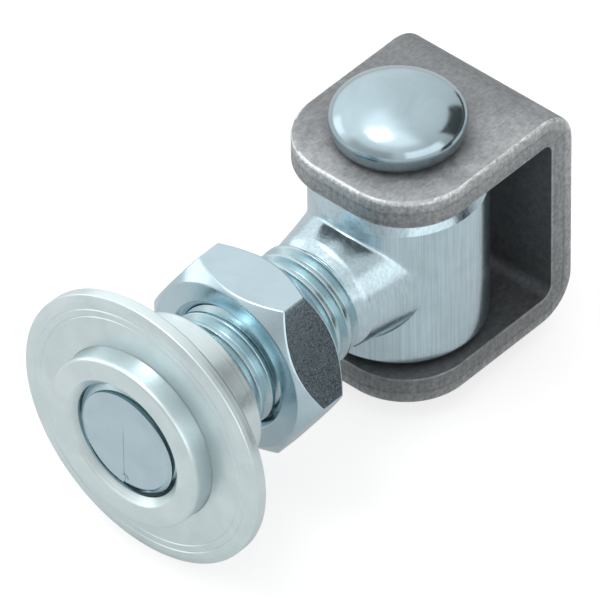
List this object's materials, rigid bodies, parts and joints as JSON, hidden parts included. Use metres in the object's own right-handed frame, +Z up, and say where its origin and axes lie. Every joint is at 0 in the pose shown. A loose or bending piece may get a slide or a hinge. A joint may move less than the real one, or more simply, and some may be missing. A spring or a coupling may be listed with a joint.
{
  "type": "adjustable gate hinge",
  "caption": "Adjustable weld-on gate hinge: a folded steel bracket and domed pin carry a threaded eye bolt with a lock nut and a flanged weld nut.",
  "frame": {"origin": "centre of the bracket's weld face", "axes": "+X out from the weld face along the eye bolt, +Z up along the hinge pin"},
  "size_m": [0.0862, 0.0472, 0.0524],
  "materials": {
    "raw_steel": "dull hot-rolled bar with a thin mill scale and sheared edges",
    "zinc_plated": "bright blue-white zinc plating, smooth",
    "zinc_turned": "bright blue-white zinc plating over fine turning marks"
  },
  "bodies": {
    "bracket": {"u_bracket": "raw_steel", "hinge_pin": "zinc_plated"},
    "bolt": {"eye_bolt": "zinc_plated"},
    "locking": {"lock_nut": "zinc_plated"},
    "gate_side": {"weld_nut": "zinc_turned"}
  },
  "joints": [
    {"name": "gate_swing", "type": "hinge", "parent": "bracket", "child": "bolt", "pos_m": [0.023, 0, 0], "axis": [0, 0, 1], "range_deg": [-110, 110]},
    {"name": "lock_nut_travel", "type": "slide", "parent": "bolt", "child": "locking", "axis": [1, 0, 0], "range_m": [-0.007, 0.0065]},
    {"name": "weld_nut_travel", "type": "slide", "parent": "bolt", "child": "gate_side", "axis": [1, 0, 0], "range_m": [0, 0.0037]}
  ]
}
